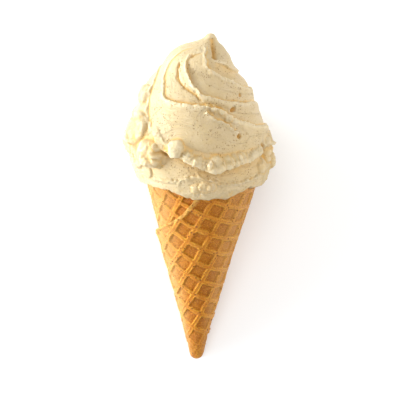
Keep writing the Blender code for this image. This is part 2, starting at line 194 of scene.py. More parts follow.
def rolled_wafer_tree():
    """A flat grid of rows and columns, carried round the cone with its lattice relief."""
    sizes = [(name, "NodeSocketFloat", value) for name, value in WAFER_SIZES.items()]
    tree = new_socket_tree("rolled wafer", "GeometryNodeTree",
                           sizes + [("Material", "NodeSocketMaterial", None)],
                           [("Geometry", "NodeSocketGeometry")])
    desk = NodeDesk(tree)
    m = desk.math
    put_in = tree.nodes.new("NodeGroupInput").outputs

    grid = desk.put("GeometryNodeMeshGrid", {"Size X": 1.0, "Size Y": 1.0,
                                             "Vertices X": COLUMNS, "Vertices Y": ROWS})
    place = desk.put("GeometryNodeInputPosition").outputs[0]
    place = desk.put("ShaderNodeSeparateXYZ", {"Vector": place}).outputs
    across = m("ADD", place[0], 0.5)
    up = m("ADD", place[1], 0.5)

    # rows: up the outside, over the rim, down the hollow, across its bottom
    rim_row = OUTSIDE_SHARE + RIM_SHARE
    close_row = 1.0 - CLOSE_SHARE
    rise = desk.ramp(up, 0.0, OUTSIDE_SHARE, 0.0, put_in["Rim height"])
    fall = desk.ramp(up, rim_row, close_row, 0.0,
                     m("SUBTRACT", put_in["Rim height"], HOLLOW_Z))
    z = m("SUBTRACT", rise, fall)
    inward = desk.ramp(up, OUTSIDE_SHARE, rim_row)
    closing = desk.ramp(up, close_row, 1.0, 1.0, 0.0)

    # columns: one full turn from the cut edge, then back out over its wall
    wall_column = 1.0 - WALL_SHARE
    turn = desk.ramp(across, 0.0, wall_column, 0.0, 360.0)
    wall = desk.ramp(across, wall_column, 1.0)

    seam = desk.put("ShaderNodeFloatCurve", {"Value": m("DIVIDE", z, RIM_Z)})
    curve = seam.mapping.curves[0]
    picks = SEAM_LINE[::max(1, len(SEAM_LINE) // SEAM_PICKS)]
    for h, a in picks[1:]:
        curve.points.new(h / RIM_Z, (a - SEAM_LOW) / (SEAM_HIGH - SEAM_LOW))
    curve.points[0].location = (0.0, (picks[0][1] - SEAM_LOW) / (SEAM_HIGH - SEAM_LOW))
    last = max(curve.points, key=lambda p: p.location[0])
    last.location = (1.0, 1.0)
    seam.mapping.update()
    seam_angle = m("MULTIPLY_ADD", seam.outputs[0], SEAM_HIGH - SEAM_LOW, SEAM_LOW)
    torn = desk.noise(desk.join(m("DIVIDE", z, 3.2), 0.0, 5.0), 1.0, 3.0, 0.6)
    torn = m("MULTIPLY", m("SUBTRACT", torn, 0.5), EDGE_WANDER)
    near_edge = m("MAXIMUM", desk.ramp(turn, 0.0, 14.0, 1.0, 0.0),
                  desk.ramp(turn, 346.0, 360.0))
    seam_angle = m("MULTIPLY_ADD", torn, near_edge, seam_angle)
    angle = m("ADD", seam_angle, turn)

    lap_fade = desk.ramp(z, LAP_LOW, LAP_LOW + LAP_RISE, kind="SMOOTHSTEP")

    # place on the flat sheet, for the lattice
    past_wall = m("GREATER_THAN", wall, 0.5)
    sheet_angle = m("SUBTRACT", angle, m("MULTIPLY", past_wall, 360.0))
    half = math.atan(SLOPE)
    reach = m("DIVIDE", m("SUBTRACT", z, APEX_Z), math.cos(half))
    phi = m("MULTIPLY", m("RADIANS", sheet_angle), math.sin(half))
    sheet_x = m("MULTIPLY", reach, m("SINE", phi))
    sheet_y = m("MULTIPLY", reach, m("COSINE", phi))
    turn_cos = math.cos(math.radians(LATTICE_TURN))
    turn_sin = math.sin(math.radians(LATTICE_TURN))
    u = m("SUBTRACT", m("MULTIPLY", sheet_x, turn_cos), m("MULTIPLY", sheet_y, turn_sin))
    v = m("ADD", m("MULTIPLY", sheet_x, turn_sin), m("MULTIPLY", sheet_y, turn_cos))
    sheet = desk.join(u, v, 0.0)
    sway = desk.noise(sheet, 0.11, 1.0, output="Color")
    sway = desk.put("ShaderNodeSeparateXYZ", {"Vector": sway}).outputs
    u = m("MULTIPLY_ADD", m("SUBTRACT", sway[0], 0.5), LATTICE_SWAY, u)
    v = m("MULTIPLY_ADD", m("SUBTRACT", sway[1], 0.5), LATTICE_SWAY, v)

    half_pitch = m("MULTIPLY", put_in["Lattice pitch"], 0.5)
    to_u = m("PINGPONG", m("SUBTRACT", u, LATTICE_U), half_pitch)
    to_v = m("PINGPONG", m("SUBTRACT", v, LATTICE_V), half_pitch)
    to_ridge = m("SMOOTH_MIN", to_u, to_v, RIDGE_BLEND)
    width = m("MULTIPLY_ADD", desk.noise(sheet, 0.35, 2.0), RIDGE_UNEVEN, -0.5 * RIDGE_UNEVEN)
    to_ridge = m("ADD", to_ridge, width)
    foot = m("ADD", put_in["Ridge half width"], put_in["Ridge wall width"])
    sunk = desk.ramp(to_ridge, put_in["Ridge half width"], foot, kind="SMOOTHSTEP")
    sunk = m("MULTIPLY", sunk, desk.ramp(z, 4.0, 14.0))
    crown = desk.ramp(to_ridge, 0.1, put_in["Ridge half width"], -RIDGE_CROWN, 0.0)
    pillow = desk.ramp(to_ridge, foot, m("MULTIPLY", put_in["Lattice pitch"], 0.45),
                       0.0, POCKET_PILLOW, kind="SMOOTHSTEP")
    depth = m("MULTIPLY", put_in["Pocket depth"],
              desk.ramp(z, 8.0, 40.0, POCKET_TIP_SHARE, 1.0))
    relief = m("SUBTRACT", crown, m("MULTIPLY", sunk, depth))
    relief = m("ADD", relief, pillow)
    coarse = desk.noise(sheet, 0.22, 2.0)
    relief = m("MULTIPLY_ADD", m("SUBTRACT", coarse, 0.5), BLISTERS, relief)
    grain = desk.noise(sheet, 1.1, 3.0, 0.6)
    relief = m("MULTIPLY_ADD", m("SUBTRACT", grain, 0.5), CRUMB, relief)

    lap = desk.ramp(turn, 0.0, LAP_RUN, 1.0, 0.0, kind="SMOOTHSTEP")
    lap = m("MULTIPLY", m("MULTIPLY", m("ADD", lap, wall), lap_fade), put_in["Lap"])
    # the cut edge is thick and crumbly, its knots follow each other like a rope's
    knots = desk.ramp(desk.noise(sheet, 0.6, 2.0), 0.35, 0.65, 0.25, 1.0)
    bead = desk.ramp(turn, 1.0, 8.0, EDGE_BEAD, 0.0, kind="SMOOTHSTEP")
    bead = m("MULTIPLY", bead, lap_fade)
    bead = m("MULTIPLY", bead, knots)

    straight = m("MULTIPLY", m("SUBTRACT", z, APEX_Z), SLOPE)
    straight = m("SUBTRACT", straight, m("MULTIPLY", lap_fade, SINK))
    below = m("SUBTRACT", TIP_R, z)
    ball = m("SUBTRACT", TIP_R ** 2, m("MULTIPLY", below, below))
    ball = m("SQRT", m("MAXIMUM", ball, 0.0))
    in_tip = m("LESS_THAN", z, TIP_R * TIP_SHARE)
    body = m("ADD", m("MULTIPLY", ball, in_tip),
             m("MULTIPLY", straight, m("SUBTRACT", 1.0, in_tip)))
    at_tip = desk.ramp(z, 0.0, 2.5)
    proud = m("MULTIPLY", m("ADD", m("ADD", lap, bead), relief), at_tip)
    outer = m("ADD", body, proud)
    inner = m("SUBTRACT", straight, put_in["Wafer thickness"])
    radius = m("ADD", m("MULTIPLY", outer, m("SUBTRACT", 1.0, inward)),
               m("MULTIPLY", inner, inward))
    radius = m("MULTIPLY", radius, closing)

    turned = m("RADIANS", angle)
    spot = desk.join(m("MULTIPLY", radius, m("SINE", turned)),
                     m("MULTIPLY", m("MULTIPLY", radius, m("COSINE", turned)), -1.0), z)
    # kept for the finish: how deep in a pocket, how near a ridge, and the place on the sheet
    edge = m("MULTIPLY", desk.ramp(turn, 2.0, 6.5, 1.0, 0.0),
             m("MULTIPLY_ADD", knots, 0.5, 0.5))
    edge = m("MAXIMUM", m("GREATER_THAN", wall, 0.02), edge)
    edge = m("MULTIPLY", edge, lap_fade)
    kept = grid.outputs["Mesh"]
    for label, value, kind in (("pocket", sunk, "FLOAT"), ("ridge", to_ridge, "FLOAT"),
                               ("cut_edge", edge, "FLOAT"),
                               ("leftward", m("MULTIPLY", m("SINE", turned), -1.0), "FLOAT"),
                               ("sheet", desk.join(u, v, past_wall), "FLOAT_VECTOR")):
        kept = desk.put("GeometryNodeStoreNamedAttribute",
                        {"Geometry": kept, "Name": label, "Value": value},
                        data_type=kind, domain="POINT").outputs[0]
    placed = desk.put("GeometryNodeSetPosition", {"Geometry": kept, "Position": spot})
    merged = desk.put("GeometryNodeMergeByDistance",
                      {"Geometry": placed.outputs[0], "Distance": 0.004})
    smooth = desk.put("GeometryNodeSetShadeSmooth", {"Geometry": merged.outputs[0]})
    real = desk.put("GeometryNodeRealizeInstances", {"Geometry": smooth.outputs[0]})
    dressed = desk.put("GeometryNodeSetMaterial", {"Geometry": real.outputs[0],
                                                   "Material": put_in["Material"]})
    out = tree.nodes.new("NodeGroupOutput")
    tree.links.new(dressed.outputs[0], out.inputs[0])
    return tree


def speckle_group():
    """Mottled colour and small pits, for any baked or frozen food."""
    tree = new_socket_tree(
        "mottle and pits", "ShaderNodeTree",
        [("Vector", "NodeSocketVector", None),
         ("Patch size", "NodeSocketFloat", 6.0),
         ("Pit spacing", "NodeSocketFloat", 2.0),
         ("Pit size", "NodeSocketFloat", 0.2),
         ("Pit share", "NodeSocketFloat", 0.5)],
        [("Mottle", "NodeSocketFloat"), ("Pits", "NodeSocketFloat"),
         ("Grain", "NodeSocketFloat")])
    desk = NodeDesk(tree)
    put_in = tree.nodes.new("NodeGroupInput").outputs
    vector = put_in["Vector"]
    mottle = desk.noise(vector, desk.math("DIVIDE", 1.0, put_in["Patch size"]), 3.0, 0.55)
    cells = desk.put("ShaderNodeTexVoronoi",
                     {"Vector": vector,
                      "Scale": desk.math("DIVIDE", 1.0, put_in["Pit spacing"])})
    pick = desk.put("ShaderNodeSeparateColor", {"Color": cells.outputs["Color"]}).outputs
    size = desk.math("MULTIPLY", put_in["Pit size"],
                     desk.math("MULTIPLY_ADD", pick[1], 0.8, 0.5))
    pit = desk.ramp(cells.outputs["Distance"], desk.math("MULTIPLY", size, 0.5), size,
                    1.0, 0.0, kind="SMOOTHSTEP")
    pit = desk.math("MULTIPLY", pit, desk.math("LESS_THAN", pick[0], put_in["Pit share"]))
    grain = desk.noise(vector, desk.math("DIVIDE", 4.0, put_in["Pit spacing"]), 4.0, 0.65)
    out = tree.nodes.new("NodeGroupOutput")
    for name, value in (("Mottle", mottle), ("Pits", pit), ("Grain", grain)):
        tree.links.new(value, out.inputs[name])
    return tree


SPECKLE = speckle_group()


def new_material(name):
    material = bpy.data.materials.new(name)
    material.use_nodes = True
    tree = material.node_tree
    return material, NodeDesk(tree), tree.nodes["Principled BSDF"]


def srgb(r, g, b):
    """A colour given as eight-bit display values, as the shader's linear one."""
    def linear(c):
        c = c / 255.0
        return c / 12.92 if c <= 0.04045 else ((c + 0.055) / 1.055) ** 2.4
    return (linear(r), linear(g), linear(b), 1.0)


def mix_colour(desk, factor, a, b):
    """Colour a where the factor is 0, b where it is 1."""
    node = desk.put("ShaderNodeMix", {"Factor": factor, 6: a, 7: b}, data_type="RGBA")
    return node.outputs[2]


WAFER_RIDGE = srgb(192, 114, 8)
# pale colour for random flecks and for the painted highlight along the ridges' shoulders
WAFER_PALE_AND_HIGHLIGHT = srgb(232, 168, 50)
WAFER_FLOOR = srgb(184, 110, 6)
WAFER_DARK = srgb(156, 86, 0)
# darker colour for scorch flecks and for painted shade on the pocket walls
WAFER_SCORCH_AND_SHADE = srgb(142, 76, 4)
# paler colour painted as light on the wafer's sides
WAFER_PAINTED_LIGHT = srgb(216, 174, 112)
WAFER_EDGE = srgb(240, 192, 104)
# dark colour painted as shade in the pin holes
WAFER_HOLE_SHADE = srgb(116, 58, 12)
TIP_BROWN = 26.0              # length of the browner tip


def baked_wafer():
    material, desk, shader = new_material("baked_wafer")
    sheet = desk.stored("sheet", "Vector")
    pocket = desk.stored("pocket")
    cut_edge = desk.stored("cut_edge")
    crest = desk.stored("ridge")
    leftward = desk.stored("leftward")
    place = desk.put("ShaderNodeTexCoord").outputs["Object"]
    speckle = desk.put("ShaderNodeGroup",
                       {"Vector": sheet, "Patch size": 5.0, "Pit spacing": 1.6,
                        "Pit size": 0.34, "Pit share": 0.5}, node_tree=SPECKLE)
    broad = desk.noise(place, 55.0, 3.0, 0.6)

    # painted highlight: the ridges are coloured paler along their shoulders, in patches
    rim = desk.math("MULTIPLY", desk.ramp(crest, 0.2, RIDGE_HALF),
                    desk.ramp(speckle.outputs["Mottle"], 0.3, 0.62))
    ridge = mix_colour(desk, rim, WAFER_RIDGE, WAFER_PALE_AND_HIGHLIGHT)
    floor = mix_colour(desk, desk.ramp(broad, 0.35, 0.7), WAFER_FLOOR, WAFER_DARK)
    colour = mix_colour(desk, desk.ramp(pocket, 0.1, 0.95), ridge, floor)
    # painted shade: darker on the walls between the ridges and the pocket floors
    foot = desk.math("MULTIPLY", pocket, desk.math("SUBTRACT", 1.0, pocket))
    colour = mix_colour(desk, desk.math("MULTIPLY", foot, 1.1), colour, WAFER_SCORCH_AND_SHADE)
    # painted light: the wafer is coloured paler down the left side, where the side light
    # falls, and a little paler down the right
    painted_light = desk.math("ADD", desk.ramp(leftward, 0.3, 1.0, 0.0, 0.6, kind="SMOOTHSTEP"),
                      desk.ramp(leftward, -0.2, -0.9, 0.0, 0.4, kind="SMOOTHSTEP"))
    colour = mix_colour(desk, painted_light, colour, WAFER_PAINTED_LIGHT)
    colour = mix_colour(desk, desk.math("MULTIPLY", cut_edge, 0.85), colour, WAFER_EDGE)
    # the wafer is coloured darker towards the tip; flecks of sugar brown too
    along = desk.put("ShaderNodeSeparateXYZ", {"Vector": place}).outputs["Y"]
    tip = desk.ramp(along, tip_y * MM, (tip_y + TIP_BROWN) * MM, 0.6, 0.0, kind="SMOOTHSTEP")
    colour = mix_colour(desk, tip, colour, WAFER_DARK)
    flecks = desk.ramp(desk.noise(sheet, 0.8, 4.0, 0.65), 0.5, 0.72, 0.0, 0.35)
    colour = mix_colour(desk, flecks, colour, WAFER_DARK)
    crumb = desk.noise(sheet, 1.1, 4.0, 0.75)
    colour = mix_colour(desk, desk.ramp(crumb, 0.50, 0.68, 0.0, 0.6), colour, WAFER_PALE_AND_HIGHLIGHT)
    colour = mix_colour(desk, desk.ramp(crumb, 0.48, 0.30, 0.0, 0.7), colour, WAFER_SCORCH_AND_SHADE)
    # painted shade: the pin holes on the ridges are coloured dark
    on_ridge = desk.ramp(pocket, 0.25, 0.6, 1.0, 0.12)
    holes = desk.math("MULTIPLY", speckle.outputs["Pits"], on_ridge)
    colour = mix_colour(desk, desk.math("MULTIPLY", holes, 0.9), colour, WAFER_HOLE_SHADE)

    fine = desk.math("MULTIPLY_ADD", speckle.outputs["Grain"], 0.6,
                     desk.math("MULTIPLY", holes, -1.0))
    fine = desk.math("MULTIPLY_ADD", crumb, 2.4, fine)
    bump = desk.put("ShaderNodeBump", {"Height": fine, "Strength": 0.8,
                                       "Distance": 0.5 * MM})
    rough = desk.ramp(speckle.outputs["Mottle"], 0.2, 0.8, 0.42, 0.56)
    desk.fill(shader, {"Base Color": colour, "Normal": bump.outputs[0], "Roughness": rough,
                       "Specular IOR Level": 0.28, "Subsurface Weight": 0.12,
                       "Subsurface Scale": 1.2 * MM})
    return material


def set_inputs(modifier, values):
    """Sets a node modifier's inputs by their sockets' identifiers."""
    for item in modifier.node_group.interface.items_tree:
        if item.item_type == "SOCKET" and item.in_out == "INPUT" and item.name in values:
            modifier[item.identifier] = values[item.name]


def rest_flat(mesh):
    """Presses whatever would sink into the floor flat against it."""
    spots = np.empty(len(mesh.vertices) * 3)
    mesh.vertices.foreach_get("co", spots)
    spots = spots.reshape(-1, 3)
    spots[:, 2] = np.maximum(spots[:, 2], 0.0)
    mesh.vertices.foreach_set("co", spots.ravel())
    mesh.update()


def add_object(name, data):
    thing = bpy.data.objects.new(name, data)
    bpy.context.scene.collection.objects.link(thing)
    return thing


def made_plain(name, tree, values):
    """Runs a node tree and keeps what it makes as a plain object."""
    maker = add_object(name + " maker", bpy.data.meshes.new(name + " start"))
    modifier = maker.modifiers.new(name, "NODES")
    modifier.node_group = tree
    set_inputs(modifier, values)
    graph = bpy.context.evaluated_depsgraph_get()
    result = bpy.data.meshes.new_from_object(maker.evaluated_get(graph))
    bpy.data.objects.remove(maker, do_unlink=True)
    result.name = name
    return add_object(name, result)


wafer = made_plain("rolled_wafer", rolled_wafer_tree(),
                   {**WAFER_SIZES, "Material": baked_wafer()})


def face_outwards(mesh):
    """Turns every face outwards, and the whole shell round if it encloses less than nothing."""
    bm = bmesh.new()
    bm.from_mesh(mesh)
    bmesh.ops.dissolve_degenerate(bm, dist=1e-7, edges=bm.edges)
    bmesh.ops.recalc_face_normals(bm, faces=bm.faces)
    if bm.calc_volume(signed=True) < 0.0:
        bmesh.ops.reverse_faces(bm, faces=bm.faces)
    bm.to_mesh(mesh)
    bm.free()


wafer.data.transform(LYING)
rest_flat(wafer.data)
face_outwards(wafer.data)
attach(wafer, "root")
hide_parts("waffle_cone")


# ============================================================================
# Cream: soft serve let down from a nozzle in folds that wind out from a small
# peak, each outer fold's torn edge lying over the one inside it. It hangs a
# ragged skirt over the wafer's rim and fills the cone.
# ============================================================================

OUTLINE = ((190.6, 0.0), (190.0, 2.0), (188.7, 3.1), (187.0, 4.6), (185.1, 7.4),
           (183.4, 10.8), (181.6, 13.6), (178.0, 17.0), (174.6, 18.8), (171.0, 20.6),
           (167.6, 23.4), (164.0, 26.8), (160.6, 29.2), (157.0, 31.0), (151.8, 32.6),
           (146.6, 34.6), (141.3, 37.2), (136.0, 39.2), (130.8, 39.6), (120.3, 39.4),
           (115.0, 38.4), (109.8, 36.8), (105.0, 34.4), (102.0, 33.0))
LEAN = ((190.6, 3.8), (188.7, 3.6), (187.0, 3.0), (185.0, 1.4), (181.6, -1.4),
        (178.0, -2.2), (173.0, -2.8), (165.0, -2.6), (150.0, -2.6), (135.0, -2.2),
        (125.0, -1.2), (118.0, 0.3), (110.0, 0.4), (102.0, 0.0))     # height, sideways
BELLY = 1.5                   # extra at the back, where the swirl lies flattened
BELLY_Z = 129.0               # its middle and how far it reaches up and down
BELLY_REACH = 16.0
GAP = 0.36                    # to the wafer
CORE_Z = HOLLOW_Z + 1.6       # lower end of the cream inside the cone
SKIRT_LIP = 0.9               # height of the skirt's rounded lower edge
SKIRT_RING = 30               # radius of the ring on which its raggedness is read
SKIRT = ((-180, 105), (-130, 106.5), (-90, 107), (-62, 108), (-46, 108.3), (-36, 108.1),
         (-28, 107.8), (-22, 106.6), (-15, 105.2), (-8, 104.6), (2, 104.8), (9, 104),
         (14, 105), (18, 105), (24, 104), (28, 104.4), (35, 106.6), (42, 108.2),
         (52, 108.4), (75, 106), (110, 104.5), (150, 106), (180, 105))           # angle, height

# Folds, each a line of (angle, height) read outward from the peak, with its outer side on
# the right. Before the line: dive, its reach, lip, its reach, raggedness, share of golden
# painted shade.
# roll: the inner cream dives under the rolled edge of the outer one.
# hang: the inner cream swells to a torn edge that hangs over a recess.
# crack: a narrow groove in a shallow valley.
FOLDS = (
    ("crack", 2.3, 1.3, 1.0, 3.0, 0.3, 0.8,
     ((16, 189), (28, 186.6), (35, 183.6), (35, 180.6), (32, 178.6))),
    ("hang", 1.8, 4.0, 1.0, 4.0, 0.4, 0.5,
     ((28, 179), (34, 178.2), (41, 177.2), (50, 176), (60, 174.4), (85, 170), (130, 166),
      (175, 164))),
    ("roll", 2.0, 4.5, 1.1, 3.0, 1.0, 0.6,
     ((2, 186), (8, 182), (14, 179.4), (15, 177.2), (19, 174.8), (24, 173), (32, 170.6),
      (41, 168.4), (50, 166.4), (74, 162.6), (97, 159.4), (120, 156.5), (155, 153))),
    ("roll", 1.7, 4.0, 1.2, 4.0, 0.7, 0.6,
     ((8, 183.4), (4, 182.4), (-6, 182.2), (-18, 181.4), (-24, 180), (-23, 177.8),
      (-20, 174.8), (-16, 171.4), (-10, 168.2), (-2, 165), (4, 162.8), (18, 160.4),
      (34, 158.2), (56, 155.8), (72, 154.6), (100, 151), (140, 147))),
    ("crack", 1.3, 0.6, 0.9, 2.6, 0.7, 0.7,
     ((-41, 178), (-39, 175.6), (-37, 172.8), (-32, 170), (-24, 167.6), (-9, 164),
      (-4, 163), (2, 160.4), (7, 158.2))),
    ("roll", 2.2, 4.5, 1.5, 4.5, 0.7, 0.8,
     ((-30, 185), (-45, 183.8), (-54, 182.4), (-56, 180), (-58, 177.4), (-60, 174.4),
      (-60, 171.2), (-54, 168), (-46, 164.8), (-40, 161.4), (-35, 158.9), (-28, 158.2),
      (-12, 157.4), (2, 156.6), (10, 156), (23, 154.1), (38, 148.4), (48, 145.6),
      (62, 143.2), (85, 140), (110, 137), (150, 134))),
    ("roll", 1.5, 4.0, 0.8, 2.5, 1.0, 0.7,
     ((8, 154.6), (16, 151.2), (22, 148.6), (29, 146.2), (35, 143.2), (39, 140.6))),
    ("roll", 1.3, 3.0, 1.8, 4.5, 0.8, 0.9,
     ((-150, 174), (-115, 171.5), (-90, 169.5), (-76, 167), (-66, 164), (-60, 159.6),
      (-58, 156), (-56, 151.8), (-52, 148), (-44, 143), (-38, 139))),
    ("hang", 3.2, 8.0, 1.8, 5.0, 1.2, 0.9,
     ((-48, 146), (-41, 141), (-34, 135.4), (-28, 133.2), (-22, 131.4), (-11, 129.4),
      (-6, 127.6), (3, 124.8), (10, 122.4), (16, 122.8), (33, 125.2), (56, 128),
      (70, 129.4), (90, 130.5), (120, 129), (165, 128), (210, 130), (250, 138),
      (280, 147))),
    ("crack", 0.25, 0.8, 0.5, 3.0, 0.6, 0.12,
     ((-14, 136.6), (-1, 133.8), (6, 132.2), (18, 131.2), (31, 131.2), (44, 132),
      (60, 132.6), (76, 132.4))),
    ("crack", 1.2, 1.0, 0.8, 2.5, 1.0, 1.0,
     ((63, 133.6), (66, 130), (69, 126), (70, 121))),
    ("roll", 0.5, 5.0, 0.6, 3.0, 1.4, 0.1,
     ((-60, 115.4), (-48, 114.4), (-26, 115), (-16, 116.2), (-10, 118), (-4, 118.6),
      (7, 116.4), (20, 113.8), (39, 114.6), (50, 115), (90, 118), (140, 118),
      (190, 119), (240, 119), (285, 116))),
)

# The folds lie pressed together down the sides and towards the peak: where that starts,
# over how much it grows and what share of their height is lost.
PRESSED_LEFT = (24.0, 22.0, 0.80)       # degrees, degrees, share
PRESSED_RIGHT = (50.0, 20.0, 0.45)
PRESSED_UNTIL = 130.0                   # degrees, past this they open again
PRESSED_TOP = (172.0, 8.0, 0.70)        # mm of height, mm, share

# Single lumps: angle, height, radius, how far they stand out.
LUMPS = ((-16, 134.8, 4.6, 3.6), (-8, 131.2, 2.6, 1.5), (-4, 128.6, 2.5, 1.7),
         (1.5, 128.8, 2.8, 1.6), (7, 127.2, 2.6, 1.5), (14, 126.6, 4.6, 3.0),
         (24, 127.4, 3.4, 1.8), (31, 128.6, 3.4, 1.6), (36, 129.2, 3.0, 1.3),
         (-41, 128.8, 8.2, 4.8), (-33, 131.6, 3.4, 1.6),
         (-31, 127.2, 3.4, 1.9), (-36, 124.4, 3.6, 1.9), (-44, 131.8, 3.6, 1.4),
         (-43, 126.0, 3.6, 1.5), (-62, 140.5, 8.8, 3.2), (-64, 148.6, 5.5, 1.8),
         (-74, 130.0, 7.2, 2.6), (-60, 124.0, 6.5, 2.2), (-50, 119.0, 5.0, 1.3),
         (-72, 157.0, 6.5, 2.2), (77, 127.0, 6.2, 2.8), (88, 120.0, 6.0, 2.4),
         (62, 120.0, 4.6, 1.6), (84, 131.0, 5.6, 1.0), (16, 155.4, 2.3, 1.5),
         (24, 153.4, 2.0, 1.1), (11, 156.8, 1.8, 0.9), (30, 149.2, 2.2, 0.9),
         (-4, 111.6, 2.8, 1.3), (3, 112.8, 3.2, 1.5), (9, 112.6, 2.6, 1.0))
CHUNK = 6.0                   # lumps of a larger radius than this are rubble, not smooth balls

# Small pockets torn into the cream: angle, height, radius, depth.
HOLES = ((54, 160.4, 1.2, 2.0), (39, 154.0, 1.7, 3.2), (38, 140.2, 1.5, 2.8),
         (-25, 132.4, 3.6, 0.9), (66, 130.8, 1.6, 2.2), (-20, 181.0, 1.4, 1.6))

# Knobs of the broken-up cream: their size and how far they stand out.
RUBBLE_BIG = (7.0, 2.0)
RUBBLE_SMALL = (3.0, 0.9)
LIP_BIG = (6.0, 2.4)          # on the hanging edges
LIP_SMALL = 0.6               # small ones there, as large as the rubble's
TORN_SMALL = 0.5              # the same on the other torn edges
CRUMBS = (1.9, 0.7)
KNOB_MEAN = 0.6               # what the knobs come to on average
WAVES = ((3.0, 0.10), (14.0, 0.15))     # size and height, on the smooth faces

PEAK_CALM = (184.0, 4.0, 0.7)           # height, over mm, share: no rough relief on the peak
EDGE_THIN = (0.94, 0.06, 0.7)           # of the rows, over rows, share: nor on the lower edge
SKIRT_PULL = (0.72, 0.28)               # of the rows, over rows: these stretch to the skirt

# painted shade and highlight: hollows are coloured golden and crests paler
HOLLOW_SHADE_SHARE = 0.75           # how golden the narrow hollows look
DEEP_SHADE_SHARE = 0.65             # and the broad ones
CREST_HIGHLIGHT_SHARE = 0.6             # how pale the crests look

CREAM_SIDES = 440             # of the mesh, round the swirl
CREAM_ROWS = 205              # from the peak to the skirt's edge
FRONT_CROWDING = 20.0         # degrees
FAR = 1e8                     # past any real distance: no fold's line is near the point


def smoothstep(t):
    t = np.clip(t, 0.0, 1.0)
    return t * t * (3.0 - 2.0 * t)


def bell(x):
    return np.exp(-x ** 2)


def seam_angle(z):
    return np.interp(z, SEAM_LINE[:, 0], SEAM_LINE[:, 1])


def lap_fade(z):
    return smoothstep((np.asarray(z, dtype=float) - LAP_LOW) / LAP_RISE)


def wafer_radius(z):
    """Outer radius of the wafer's inner layer, above its tip."""
    return SLOPE * (z - APEX_Z) - SINK * lap_fade(z)


def lap_height(z, turn):
    """How far the wafer's outer layer stands proud, `turn` degrees past its cut edge."""
    return LAP * lap_fade(z) * (1.0 - smoothstep(np.asarray(turn) / LAP_RUN))


OUTLINE_LINE = smooth_path(OUTLINE, 0.8)
SKIRT_LINE = smooth_path(SKIRT, 4.0)
LEAN_LINE = smooth_path(LEAN, 0.8)


def dome_point(angle, z):
    """Points of the smooth dome under the folds, from arrays of angle and height."""
    r = np.interp(-z, -OUTLINE_LINE[:, 0], OUTLINE_LINE[:, 1])
    a = np.radians(angle)
    lean = np.interp(-z, -LEAN_LINE[:, 0], LEAN_LINE[:, 1])
    return np.stack([r * np.sin(a) + lean, -r * np.cos(a), z], axis=-1)


class Cells:
    """A seeded shuffle that gives each unit cell of space a number from 0 to 255."""

    def __init__(self, seed):
        self.rng = np.random.default_rng(seed)
        self.order = self.rng.permutation(256)

    def pick(self, cell):
        c = cell & 255
        order = self.order
        return order[(order[(order[c[:, 0]] + c[:, 1]) & 255] + c[:, 2]) & 255]


class Grain(Cells):
    """Seeded gradient noise over arrays of points, from about -1 to 1."""

    def __init__(self, seed):
        super().__init__(seed)
        slopes = self.rng.normal(size=(256, 3))
        self.slopes = slopes / np.linalg.norm(slopes, axis=1, keepdims=True)

    def __call__(self, points, size):
        p = points / size
        cell = np.floor(p).astype(int)
        f = p - cell
        w = f * f * f * (f * (f * 6 - 15) + 10)
        total = np.zeros(len(p))
        for corner in range(8):
            step = np.array([corner & 1, (corner >> 1) & 1, corner >> 2])
            pick = self.pick(cell + step)
            share = np.prod(np.where(step == 1, w, 1 - w), axis=1)
            total += share * np.einsum("ij,ij->i", self.slopes[pick], f - step)
        return total * 1.6


class Knobs(Cells):
    """Seeded round knobs packed side by side: 1 on a knob's top, down to 0 in the creases."""

    def __init__(self, seed):
        super().__init__(seed)
        self.places = self.rng.random((256, 3))

    def __call__(self, points, size):
        p = points / size
        cell = np.floor(p).astype(int)
        near = np.full(len(p), 9.0)
        for corner in range(27):
            step = np.array([corner % 3 - 1, corner // 3 % 3 - 1, corner // 9 - 1])
            gap = cell + step + self.places[self.pick(cell + step)] - p
            near = np.minimum(near, np.einsum("ij,ij->i", gap, gap))
        return np.clip(1.0 - near, 0.0, 1.0)


grain = Grain(11)
knobs = Knobs(5)


def nearest_on(track, points, normals):
    """Distance to a line on the dome, signed + on its outer side, how far along it is as a
    share of its length, and the direction away from it."""
    path = dome_point(track[:, 0], track[:, 1])
    steps = np.diff(path, axis=0)
    lengths = np.concatenate([[0.0], np.cumsum(np.linalg.norm(steps, axis=1))])
    best = np.full(len(points), 10.0 * FAR)
    signed = np.full(len(points), 10.0 * FAR)
    along = np.zeros(len(points))
    away = np.zeros((len(points), 3))
    for k in range(len(steps)):
        a, d = path[k], steps[k]
        close = np.nonzero(np.abs(points[:, 2] - a[2]) < 30.0)[0]
        some = points[close]
        t = np.clip(((some - a) @ d) / (d @ d), 0.0, 1.0)
        off = some - (a + t[:, None] * d)
        dist = np.linalg.norm(off, axis=1)
        side = np.einsum("ij,ij->i", np.cross(d[None, :], normals[close]), off)
        near = dist < best[close]
        index = close[near]
        best[index] = dist[near]
        signed[index] = np.copysign(dist[near], side[near])
        along[index] = lengths[k] + t[near] * (lengths[k + 1] - lengths[k])
        away[index] = off[near] / (signed[index][:, None] + 1e-9)
    return signed, along / lengths[-1], away


def fold_strength(angles, heights):
    """How much of the folds' height is left, 1 on the front and at the back."""
    strength = np.ones(len(angles))
    for side, (start, run, share) in ((-1, PRESSED_LEFT), (1, PRESSED_RIGHT)):
        turned = side * angles
        strength -= share * smoothstep((turned - start) / run) * smoothstep(
            (PRESSED_UNTIL - turned) / run)
    start, run, share = PRESSED_TOP
    return strength * (1.0 - share * smoothstep((heights - start) / run))


